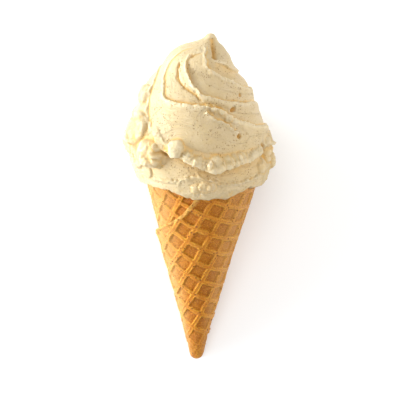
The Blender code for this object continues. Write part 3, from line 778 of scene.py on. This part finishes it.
def shape_folds(points, normals, angles):
    """Where the folds carry each point of the dome, and the finish they leave there,
    with painted golden shade in the creases and a painted highlight on the rims.
    """
    count = len(points)
    relief, crease_shade, torn, rim, lumpy, chunky, ball = (np.zeros(count) for _ in range(7))
    slide = np.zeros((count, 3))
    flow = np.zeros((count, 3))
    flow_near = np.full(count, FAR)
    wander = 0.8 * grain(points, 5.0) + 0.5 * grain(points, 2.3) + 0.4 * grain(points, 1.3)
    teeth = knobs(points, 1.7) - KNOB_MEAN
    pressed = fold_strength(angles, points[:, 2])
    # rolled edges are softer where they are pressed down on the right
    soft = 0.8 + 3.0 * (1.0 - pressed) * smoothstep(angles / 30.0)
    for number, fold in enumerate(FOLDS):
        kind, dive, dive_reach, lip, lip_reach, rag, golden, line = fold
        signed, share, away = nearest_on(smooth_path(line, 3.0), points, normals)
        gap = np.abs(signed)
        mine = gap < flow_near
        flow_near[mine] = gap[mine]
        flow[mine] = np.stack([share * 100.0, signed, signed * 0 + 40.0 * number], -1)[mine]
        fade = smoothstep(share / 0.07) * smoothstep((1.0 - share) / 0.15)
        fade = np.where(gap > FAR, 0.0, fade)
        raised = fade * pressed
        s = np.where(gap > FAR, 1e3, signed + rag * (wander + 0.5 * teeth))
        before = np.maximum(-s, 0.0)
        past = np.maximum(s, 0.0)
        if kind == "crack":
            groove = bell(s / dive_reach)
            relief -= fade * (dive * groove + lip * np.exp(-np.abs(s) / lip_reach))
            crease_shade = np.maximum(crease_shade, fade * golden * groove)
        elif kind == "roll":
            over = smoothstep((s + 0.35) / soft)
            under = dive * np.exp(-before / dive_reach)
            edge = lip * bell(past / lip_reach)
            keen = rag * smoothstep((lip - 0.7) / 0.3)
            bead = keen * bell((s - 0.7) / 0.7) * (0.5 + 1.1 * teeth)
            relief += raised * (over * edge - (1.0 - over) * under + pressed * bead)
            tuck = raised * pressed * lip * 0.6 * bell((s - 0.6) / 0.8)
            slide -= tuck[:, None] * away
            crease_shade = np.maximum(crease_shade, fade * golden * bell((s + 0.5) / 0.65))
            torn = np.maximum(torn, fade * rag * bell((s - 0.6) / 1.0))
            # painted highlight along the thin rolled edge
            rim = np.maximum(rim, fade * keen * bell((s - 0.6) / 0.6))
        else:
            over = smoothstep((s + 0.35) / 0.9)
            edge = lip * bell(before / lip_reach)
            under = dive * np.exp(-past / dive_reach)
            relief += raised * ((1.0 - over) * edge - over * under)
            droop = raised * pressed * lip * 0.7 * bell((s + 0.7) / 1.1)
            slide += droop[:, None] * away
            # painted golden shade in the recess under the hanging edge
            crease_shade = np.maximum(crease_shade, 0.75 * fade * golden * over * np.exp(-past / 6.0))
            hanging = smoothstep((s + lip_reach) / 1.5) * (1.0 - smoothstep((s - 0.2) / 0.8))
            lumpy = np.maximum(lumpy, fade * hanging * smoothstep((lip - 1.2) / 0.6))
    for angle, z, radius, out in LUMPS:
        centre = dome_point(np.array([angle]), np.array([z]))[0]
        d = np.linalg.norm(points - centre, axis=1) + 0.2 * radius * grain(points, radius * 0.8)
        bulge = np.sqrt(np.maximum(1.0 - (d / radius) ** 2, 0.0))
        relief += out * bulge
        if radius > CHUNK:
            chunky = np.maximum(chunky, smoothstep(bulge * 1.6))
        else:
            ball = np.maximum(ball, smoothstep(bulge * 1.4))
        torn = np.maximum(torn, 0.6 * smoothstep(bulge * 1.6))
        # painted shade round each lump's foot
        crease_shade = np.maximum(crease_shade, 0.35 * bell((d - radius * 1.03) / 0.7))
    for angle, z, radius, depth in HOLES:
        centre = dome_point(np.array([angle]), np.array([z]))[0]
        d = np.linalg.norm(points - centre, axis=1) / radius + 0.35 * grain(points, 1.6)
        pit = 1.0 - smoothstep((d - 0.3) / 0.9)
        relief -= depth * pit
        # painted golden shade in the pockets
        crease_shade = np.maximum(crease_shade, 1.3 * pit)
    lumpy *= 1.0 - 0.8 * ball
    torn = np.minimum(torn, 1.0)
    rim = np.minimum(rim, 1.0)
    return relief, slide, crease_shade, torn, rim, lumpy, chunky, flow


def rough_places(angle, z):
    """0 to 1: the broken-up cream of the left side, the lower right and the skirt."""
    left = smoothstep((-angle - 50.0) / 14.0) * smoothstep((150.0 - z) / 8.0)
    right = smoothstep((angle - 54.0) / 14.0) * smoothstep((133.0 - z) / 6.0)
    low = smoothstep((113.5 - z) / 5.0)
    return np.clip(np.maximum(np.maximum(left, right), low), 0.0, 1.0)


outline_run = np.concatenate([[0.0], np.cumsum(np.linalg.norm(np.diff(OUTLINE_LINE, axis=0),
                                                              axis=1))])
marks = (np.arange(CREAM_ROWS) + 1.0) / CREAM_ROWS
row_z = np.interp(marks * outline_run[-1], outline_run, OUTLINE_LINE[:, 0])
turns = np.arange(CREAM_SIDES) / CREAM_SIDES
# the columns stand closer together on the shown front
side_angle = 360.0 * turns - 180.0 + FRONT_CROWDING * np.sin(2.0 * math.pi * turns)
skirt = np.interp(side_angle, SKIRT_LINE[:, 0], SKIRT_LINE[:, 1])
around = np.radians(side_angle)
ring_spot = SKIRT_RING * np.stack([np.sin(around), np.cos(around), side_angle * 0], axis=-1)
skirt = skirt + grain(ring_spot, 4.0) + grain(ring_spot + 9, 1.8) * 0.5

grid_z = np.repeat(row_z[:, None], CREAM_SIDES, axis=1)
pull = smoothstep((marks - SKIRT_PULL[0]) / SKIRT_PULL[1])[:, None]
grid_z = grid_z + (skirt[None, :] + SKIRT_LIP - row_z[-1]) * pull
grid_a = np.repeat(side_angle[None, :], CREAM_ROWS, axis=0)
base = dome_point(grid_a, grid_z)
down = dome_point(grid_a, grid_z - 0.4) - dome_point(grid_a, grid_z + 0.4)
about = dome_point(grid_a + 1.0, grid_z) - dome_point(grid_a - 1.0, grid_z)
outward = np.cross(down, about)
outward /= np.linalg.norm(outward, axis=-1, keepdims=True) + 1e-12
flat = base.reshape(-1, 3)
flat_out = outward.reshape(-1, 3)

folded = shape_folds(flat, flat_out, grid_a.reshape(-1))
relief, slide, crease_shade, torn, rim, lumpy, chunky, flow = folded
rough = np.maximum(rough_places(grid_a, grid_z).reshape(-1), chunky)
height = grid_z.reshape(-1)
behind = np.clip(np.cos(np.radians(grid_a + 180.0)), 0, 1).reshape(-1)
relief += BELLY * behind ** 4 * bell((height - BELLY_Z) / BELLY_REACH)

# each kind of knob reads its noise at a place of its own
big_knobs = knobs(flat, RUBBLE_BIG[0])
small_knobs = knobs(flat + 50.0, RUBBLE_SMALL[0])
small_out = small_knobs - KNOB_MEAN
relief += rough * (RUBBLE_BIG[1] * (big_knobs - KNOB_MEAN) + RUBBLE_SMALL[1] * small_out)
warped = flat + 1.2 * np.stack([grain(flat + k, 4.0) for k in (0.0, 31.0, 62.0)], axis=-1)
uneven = np.clip(0.8 + 1.3 * grain(flat + 70.0, 8.0), 0.1, 1.6)
lip_out = knobs(warped + 20.0, LIP_BIG[0]) - 0.5
relief += lumpy * (1.0 - rough) * (LIP_BIG[1] * uneven * lip_out + LIP_SMALL * small_out)
relief += torn * (1.0 - 0.5 * rough) * TORN_SMALL * small_out
crumbs_out = knobs(flat + 90.0, CRUMBS[0]) - KNOB_MEAN
relief += np.maximum(np.maximum(torn, rough), lumpy) * CRUMBS[1] * crumbs_out
torn = np.maximum(torn, lumpy)
big_dips = smoothstep((0.5 - big_knobs) / 0.3)
small_dips = smoothstep((0.5 - small_knobs) / 0.3)
# painted golden shade in the dips between knobs
crease_shade = np.maximum(crease_shade, rough * 0.8 * big_dips)
crease_shade = np.maximum(crease_shade, np.maximum(torn, rough) * 0.35 * small_dips)
relief += sum(out * grain(flat, size) for size, out in WAVES)


def evened(values, reach):
    """Each value averaged with its neighbours, the columns running round."""
    wrapped = np.pad(values, ((0, 0), (reach, reach)), mode="wrap")
    wrapped = np.pad(wrapped, ((reach, reach), (0, 0)), mode="edge")
    window = np.ones(2 * reach + 1) / (2 * reach + 1)
    for axis in (0, 1):
        wrapped = np.apply_along_axis(np.convolve, axis, wrapped, window, mode="valid")
    return wrapped


# painted shade and highlight: hollows are coloured golden and crests pale, standing in
# for the light that goes a little way through the cream
level = relief.reshape(CREAM_ROWS, CREAM_SIDES)
hollow = (evened(evened(level, 4), 3) - level).ravel()
deep = (evened(evened(level, 9), 7) - level).ravel()
crease_shade = np.maximum(crease_shade, HOLLOW_SHADE_SHARE * smoothstep((hollow - 0.1) / 1.0))
crease_shade = np.maximum(crease_shade, DEEP_SHADE_SHARE * smoothstep((deep - 0.2) / 2.2))
rim = np.maximum(rim, CREST_HIGHLIGHT_SHARE * smoothstep((-hollow - 0.1) / 0.8))
near_peak = smoothstep((height - PEAK_CALM[0]) / PEAK_CALM[1])
relief *= 1.0 - PEAK_CALM[2] * near_peak
near_edge = smoothstep((np.repeat(marks, CREAM_SIDES) - EDGE_THIN[0]) / EDGE_THIN[1])
relief *= 1.0 - EDGE_THIN[2] * near_edge
outer = flat + flat_out * relief[:, None] + slide * (1.0 - near_peak)[:, None]
outer = outer.reshape(CREAM_ROWS, CREAM_SIDES, 3)


def clear_radius(z):
    """The wafer's outside with the gap, wide enough on both sides of its cut edge."""
    laps = [lap_height(z, (side_angle + d - seam_angle(z)) % 360.0) for d in (-6, 0, 6)]
    return wafer_radius(z) + np.max(laps, axis=0) + GAP


def level_ring(z, radius):
    z = z + side_angle * 0
    return np.stack([radius * np.sin(around), -radius * np.cos(around), z], axis=-1)


# from the skirt's edge under to the wafer, up over its rim and down inside it
last_radius = np.hypot(outer[-1, :, 0], outer[-1, :, 1])
rings = [outer[k] for k in range(CREAM_ROWS)]
rings.append(level_ring(skirt, 0.45 * last_radius + 0.55 * clear_radius(skirt)))
rings.append(level_ring(skirt + SKIRT_LIP, clear_radius(skirt + SKIRT_LIP)))
rings.append(level_ring(RIM_Z + GAP, clear_radius(skirt * 0 + RIM_Z)))
for z in (RIM_Z + GAP, RIM_Z - 50.0, CORE_Z):
    inside = float(wafer_radius(min(z, RIM_Z))) - WAFER - GAP
    rings.append(level_ring(z, side_angle * 0 + inside))

points = np.vstack(rings + [[[LEAN[0][1], 0.0, OUTLINE[0][0]]], [[0.0, 0.0, CORE_Z]]])
last = (len(rings) - 1) * CREAM_SIDES
faces = []
for k in range(len(rings) - 1):
    for j in range(CREAM_SIDES):
        i = (j + 1) % CREAM_SIDES
        faces.append((k * CREAM_SIDES + j, (k + 1) * CREAM_SIDES + j,
                      (k + 1) * CREAM_SIDES + i, k * CREAM_SIDES + i))
top, bottom = len(points) - 2, len(points) - 1
for j in range(CREAM_SIDES):
    i = (j + 1) % CREAM_SIDES
    faces.append((top, j, i))
    faces.append((bottom, last + i, last + j))

cream_mesh = bpy.data.meshes.new("cream_swirl")
cream_mesh.from_pydata(points.tolist(), [], faces)


def keep_values(mesh, name, values):
    """Stores a number or a vector for each point of the mesh, 0 past the given ones."""
    kind, field = ("FLOAT_VECTOR", "vector") if values.ndim == 2 else ("FLOAT", "value")
    full = np.zeros((len(mesh.vertices),) + values.shape[1:])
    full[:len(values)] = values
    mesh.attributes.new(name, kind, "POINT").data.foreach_set(field, full.ravel())


keep_values(cream_mesh, "crease_shade", np.clip(crease_shade, 0, 1))
keep_values(cream_mesh, "torn", np.clip(np.maximum(torn, rough * 0.7), 0, 1))
keep_values(cream_mesh, "rim", np.clip(rim, 0, 1))
keep_values(cream_mesh, "flow", flow)
cream_mesh.transform(LYING)
rest_flat(cream_mesh)
face_outwards(cream_mesh)
cream_mesh.shade_smooth()
cream = add_object("cream_swirl", cream_mesh)

CREAM = srgb(204, 184, 147)
CREAM_WARM = srgb(198, 175, 130)
# golden colour painted as shade in creases and hollows
CREAM_CREASE_SHADE = srgb(230, 178, 80)
# paler colour painted as highlight on crests and thin edges
CREAM_RIM_HIGHLIGHT = srgb(238, 226, 194)
# darker colour painted as shade in small pits
CREAM_PIT_SHADE = srgb(150, 108, 54)


def vanilla_cream():
    material, desk, shader = new_material("vanilla_cream")
    crease_shade_mask = desk.stored("crease_shade")
    torn_mask = desk.stored("torn")
    rim_highlight_mask = desk.stored("rim")
    place = desk.put("ShaderNodeTexCoord").outputs["Object"]
    in_mm = desk.put("ShaderNodeVectorMath", {0: place, 1: (1000.0, 1000.0, 1000.0)},
                     operation="MULTIPLY").outputs[0]
    # the streaks run along the folds
    stretched = desk.put("ShaderNodeVectorMath",
                         {0: desk.stored("flow", "Vector"), 1: (0.35, 1.0, 1.0)},
                         operation="MULTIPLY").outputs[0]
    streaks = desk.noise(stretched, 0.9, 3.0, 0.6)
    speckle = desk.put("ShaderNodeGroup",
                       {"Vector": in_mm, "Patch size": 11.0, "Pit spacing": 0.95,
                        "Pit size": 0.36, "Pit share": 0.7}, node_tree=SPECKLE)
    where = desk.ramp(desk.noise(in_mm, 0.16, 3.0), 0.40, 0.56)

    mottle = desk.ramp(speckle.outputs["Mottle"], 0.3, 0.75)
    colour = mix_colour(desk, mottle, CREAM, CREAM_WARM)
    # painted golden shade in the creases and hollows, painted highlight on the crests and rims
    colour = mix_colour(desk, desk.ramp(crease_shade_mask, 0.05, 1.0, 0.0, 0.9), colour, CREAM_CREASE_SHADE)
    colour = mix_colour(desk, desk.math("MULTIPLY", rim_highlight_mask, 0.7), colour, CREAM_RIM_HIGHLIGHT)
    colour = mix_colour(desk, desk.ramp(streaks, 0.35, 0.65, 0.0, 0.35), colour, CREAM_WARM)
    # painted shade in small pits, shown on the smooth faces only
    pits = desk.math("MULTIPLY", speckle.outputs["Pits"], where)
    pits = desk.math("MULTIPLY", pits, desk.math("SUBTRACT", 1.0, torn_mask))
    colour = mix_colour(desk, desk.math("MULTIPLY", pits, 0.9), colour, CREAM_PIT_SHADE)

    fine = desk.math("MULTIPLY", speckle.outputs["Grain"], 0.30)
    fine = desk.math("MULTIPLY_ADD", streaks, 1.1, fine)
    fine = desk.math("MULTIPLY_ADD", pits, -1.0, fine)
    rubble = desk.noise(in_mm, 1.1, 4.0, 0.6)
    fine = desk.math("MULTIPLY_ADD", desk.math("MULTIPLY", rubble, torn_mask), 2.0, fine)
    bump = desk.put("ShaderNodeBump", {"Height": fine, "Strength": 0.8, "Distance": 0.7 * MM})
    desk.fill(shader, {"Base Color": colour, "Normal": bump.outputs[0],
                       "Roughness": desk.ramp(torn_mask, 0.0, 1.0, 0.46, 0.6),
                       "Specular IOR Level": 0.4, "Subsurface Weight": 0.35,
                       "Subsurface Scale": 1.25 * MM, "Subsurface Radius": (1.0, 0.85, 0.5)})
    return material


cream.data.materials.append(vanilla_cream())
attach(cream, "root")
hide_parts("soft_serve")


# ============================================================================
# Floor, light and camera: a white sheet of card, a large soft light low at the
# left, weaker ones above and at the right, a small one along the floor for the
# wafer, pale air all round, and a camera straight above the lying cone.
# ============================================================================

FLOOR_SIZE = 6.0              # in metres
FLOOR_DROP = 0.0003           # the card lies this much under the cone, in metres
CARD_GLOW = 0.05              # the card is lit from behind a little too
AIR_STRENGTH = 0.62
VIEW_HEIGHT = 224.0           # what the picture takes in, in mm
LENS = 250.0                  # and the sensor's width, in mm
SENSOR = 36.0
MIDDLE_UP = 90.5              # from the tip to the middle of the picture, in mm
ROLL = 1.34                   # degrees
REFERENCE = 35.0              # height above the floor at which that is measured, in mm

bpy.ops.mesh.primitive_plane_add(size=FLOOR_SIZE, location=(0.0, 0.0, -FLOOR_DROP))
floor = bpy.context.object
floor.name = "white_card"
card, card_desk, card_shader = new_material("white_card")
card_desk.fill(card_shader, {"Base Color": (0.90, 0.91, 0.925, 1.0), "Roughness": 0.9,
                             "Specular IOR Level": 0.1, "Emission Color": (1.0, 1.0, 1.0, 1.0),
                             "Emission Strength": CARD_GLOW})
floor.data.materials.append(card)


def soft_light(name, place, width, height, power, colour, aim=(0, 0.02, 0.03), spread=180.0):
    data = bpy.data.lights.new(name, "AREA")
    data.shape = "RECTANGLE"
    data.size = width
    data.size_y = height
    data.energy = power
    data.color = colour
    data.spread = math.radians(spread)
    light = add_object(name, data)
    light.location = place
    towards = Vector(aim) - light.location
    light.rotation_euler = towards.to_track_quat("-Z", "Y").to_euler()
    light.visible_camera = False


soft_light("side_light", (-1.0, 0.22, 0.25), 0.9, 0.34, 21.5, (0.92, 0.97, 1.0))
soft_light("low_left_light", (-0.5, -0.25, 0.08), 0.3, 0.1, 0.12, (0.9, 0.96, 1.0),
           aim=(0, -0.045, 0.02), spread=40.0)
soft_light("top_light", (0.1, 0.3, 1.4), 1.3, 1.3, 8.4, (1.0, 0.985, 0.95))
soft_light("right_light", (1.0, 0.0, 0.35), 0.9, 0.5, 4.6, (1.0, 0.97, 0.93))

world = bpy.data.worlds.new("studio_air")
world.use_nodes = True
air = world.node_tree.nodes["Background"]
air.inputs["Color"].default_value = (1.0, 1.0, 1.0, 1.0)
air.inputs["Strength"].default_value = AIR_STRENGTH
bpy.context.scene.world = world
bpy.context.scene.view_settings.view_transform = "Standard"

camera_data = bpy.data.cameras.new("camera")
camera_data.lens = LENS
camera_data.sensor_width = SENSOR
distance = (VIEW_HEIGHT * LENS / SENSOR + REFERENCE) * MM
camera = add_object("camera", camera_data)
camera.location = (AXIS_X * MM, (tip_y + MIDDLE_UP) * MM, distance)
camera.rotation_euler = (0.0, 0.0, math.radians(ROLL))
camera_data.clip_end = 20.0
bpy.context.scene.camera = camera
